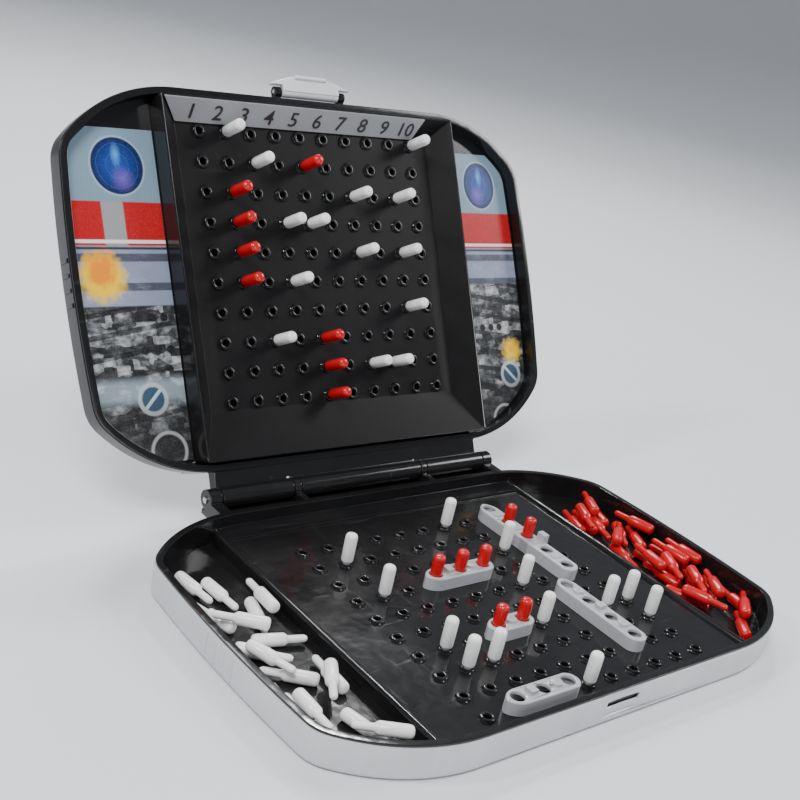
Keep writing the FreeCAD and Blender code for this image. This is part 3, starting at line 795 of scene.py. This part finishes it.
# %% Turning the pegs
PEG_PROFILE = [
    (0, 0), (0.62, 0), (0.86, 0.14), (1.30, 1.05), (1.31, 6.6),
    (1.52, 6.95), (2.12, 7.75), (2.28, 8.2), (2.29, 12.5), (2.28, 17.2),
    (2.16, 17.95), (1.82, 18.5), (1.2, 18.82), (0.5, 18.89), (0, 18.9),
]
peg_shape = lathe("peg", [(r * MM, h * MM) for r, h in PEG_PROFILE], 20)
PEG_GROUPS = {
    "ocean_white_pegs": white, "ocean_red_pegs": red, "target_white_pegs": white,
    "target_red_pegs": red, "well_white_pegs": white, "well_red_pegs": red,
}
for node, finish in PEG_GROUPS.items():
    lines = [peg_line(points) for points in islands(node)]
    starts, leans = [line[0] for line in lines], [line[1] for line in lines]
    mesh = repeated(node + " turned", peg_shape, starts, leans, finish)
    piece(node.replace("_pegs", "_peg_set"), mesh, [finish], node, [node])

# %% [markdown]
# ## Ships, clasp and strip
# The hulls and the clasp keep the shape of their solids, with their edges eased. The strip of
# column numbers keeps its solid, and the numerals stand on it as raised figures. They could be a
# mask in the strip's material, but real depth catches the light as moulded figures do. A text
# curve gives each outline, and it is made a mesh before it is put in place.

# %% The fleet and the clasp
for name in ("carrier", "battleship", "cruiser", "submarine", "destroyer"):
    piece(name + "_hull", eased(name, 0.16 * MM), [ship_grey], name, [name])
piece("thumb_clasp", eased("clasp", 0.2 * MM), [clasp_grey], "clasp", ["clasp"])

# %% The column numbers
STRIP_LOW = (141.4 * MM, -5.2 * MM)
STRIP_HIGH = (148.7 * MM, 3.45 * MM)
STRIP_THICK = 0.6 * MM
NUMBER_SHIFT = -4.4 * MM
slope = lid_up * (STRIP_HIGH[0] - STRIP_LOW[0]) + lid_out * (STRIP_HIGH[1] - STRIP_LOW[1])
slope_length = slope.length
slope.normalize()
strip_out = ACROSS.cross(slope)
NUMBER_SIZE = 9.0 * MM
DIGIT_MIDDLE = 0.36                  # half a digit's height, of the type size


def numeral(text):
    """One number as a raised mesh, lying at the origin."""
    curve = bpy.data.curves.new("number", "FONT")
    curve.body = text
    curve.size = NUMBER_SIZE
    curve.extrude = 0.11 * MM
    curve.offset = 0.06 * MM
    curve.align_x = "CENTER"
    curve.resolution_u = 3
    holder = bpy.data.objects.new("number", curve)
    bpy.context.scene.collection.objects.link(holder)
    view = bpy.context.evaluated_depsgraph_get()
    mesh = bpy.data.meshes.new_from_object(holder.evaluated_get(view), depsgraph=view)
    bpy.data.objects.remove(holder)
    return mesh


def column_numbers():
    """The numerals 1 to 10 on the strip, as one mesh."""
    work = bmesh.new()
    on_the_slope = Matrix((ACROSS, slope, strip_out)).transposed().to_4x4()
    for column in range(CELLS):
        across = (column - (CELLS - 1) / 2) * PITCH + NUMBER_SHIFT
        climb = slope_length * 0.5 - NUMBER_SIZE * DIGIT_MIDDLE
        spot = lid_point(across, *STRIP_LOW) + slope * climb
        spot += strip_out * (STRIP_THICK + 0.1 * MM)
        mesh = numeral(str(column + 1))
        mesh.transform(Matrix.Translation(spot) @ on_the_slope)
        work.from_mesh(mesh)
    bmesh.ops.remove_doubles(work, verts=work.verts, dist=1e-7)
    bmesh.ops.recalc_face_normals(work, faces=work.faces)
    mesh = bpy.data.meshes.new("column_numbers")
    work.to_mesh(mesh)
    work.free()
    return mesh


numbers = piece("column_numbers", column_numbers(), [ink], "lid", [])
print("numbers:", len(numbers.data.polygons), "faces")

# %% [markdown]
# The pins, the strip's plate and the two stickers are right as their solids have them: straight
# wire and flat sheet. They only need their finishes.

# %% Finishes for the solids that stay
KEPT = {
    "hinge_pin": steel, "clasp_pin": steel, "number_strip": strip_grey,
    "left_sticker": left_print, "right_sticker": right_print,
}
for node, finish in KEPT.items():
    nodes[node].data.materials.clear()
    nodes[node].data.materials.append(finish)
print("solids kept:", sorted(KEPT))

# %% [markdown]
# ## Floor, light and camera
# A pale floor and big soft lamps, as in a product studio. Black plastic shows mostly what it
# reflects, so the lamps are placed to draw bright lines along the rims, and the room is dim.

# %% The floor
# Its edge curls up far behind the case, so no horizon line shows.
def pale_floor():
    paint = Paint("pale floor")
    tone = paint.mix(paint.noise(3.0, 2.0), (0.66, 0.68, 0.71), (0.71, 0.73, 0.76))
    return paint.finish(Base_Color=tone, Roughness=0.6)


FLOOR_PROFILE = [
    (0, 0), (1.2, 0), (1.6, 0.02), (2.0, 0.12), (2.5, 0.45), (2.9, 1.1), (3.1, 2.2), (3.1, 4.5),
]
floor_mesh = lathe("floor", FLOOR_PROFILE, 64)
floor_mesh.flip_normals()
floor_mesh.materials.append(pale_floor())
floor = bpy.data.objects.new("floor", floor_mesh)
bpy.context.scene.collection.objects.link(floor)

# %% The lamps
def lamp(name, place, power, size, aim=(0, 0.05, 0.05), colour=(1, 1, 1)):
    """A square soft lamp."""
    light = bpy.data.lights.new(name, "AREA")
    light.energy = power
    light.size = size
    light.color = colour
    obj = bpy.data.objects.new(name, light)
    bpy.context.scene.collection.objects.link(obj)
    obj.location = place
    obj.rotation_euler = (Vector(aim) - Vector(place)).to_track_quat("-Z", "Y").to_euler()


lamp("key", (-0.55, -0.35, 1.05), 13.0, 0.45)
lamp("side", (0.95, -0.25, 0.75), 7.0, 0.40)
lamp("back", (0.25, 0.95, 0.85), 8.0, 0.50)
lamp("front", (0.15, -1.10, 0.55), 3.0, 0.35)
lamp("spark left", (-0.75, 0.30, 0.70), 4.0, 0.09)
lamp("spark right", (0.60, 0.75, 0.95), 5.0, 0.10)
world = bpy.data.worlds.new("room")
bpy.context.scene.world = world
world.use_nodes = True
sky = world.node_tree.nodes["Background"]
sky.inputs["Color"].default_value = (0.90, 0.94, 1.0, 1.0)
sky.inputs["Strength"].default_value = 0.30

# %% [markdown]
# The camera stands off the near left corner and looks down at the case, a little tilted to one
# side. Three plain angles say so: which way it heads, how far it dips, and how far it rolls. They
# could be an Euler triple, but turning by one named angle at a time is easier to change. A small
# vertical shift frames the case without turning the camera.

# %% The camera
CAMERA_PLACE = Vector((-0.2917, -0.2527, 0.2192))
CAMERA_HEADING = math.radians(44.15)  # clockwise from straight towards the back
CAMERA_DIP = math.radians(25.59)      # below level
CAMERA_ROLL = math.radians(13.19)
LENS = 53.7                           # millimetres, on a 36 mm sensor
camera_data = bpy.data.cameras.new("camera")
camera_data.sensor_width = 36.0
camera_data.lens = LENS
camera_data.shift_x = -0.014
camera_data.shift_y = 0.130
camera = bpy.data.objects.new("camera", camera_data)
bpy.context.scene.collection.objects.link(camera)
heading = Matrix.Rotation(-CAMERA_HEADING, 4, "Z")
dip = Matrix.Rotation(math.radians(90) - CAMERA_DIP, 4, "X")
roll = Matrix.Rotation(CAMERA_ROLL, 4, "Z")
camera.matrix_world = Matrix.Translation(CAMERA_PLACE) @ heading @ dip @ roll
bpy.context.scene.camera = camera
print("camera at", tuple(CAMERA_PLACE), "lens", LENS)
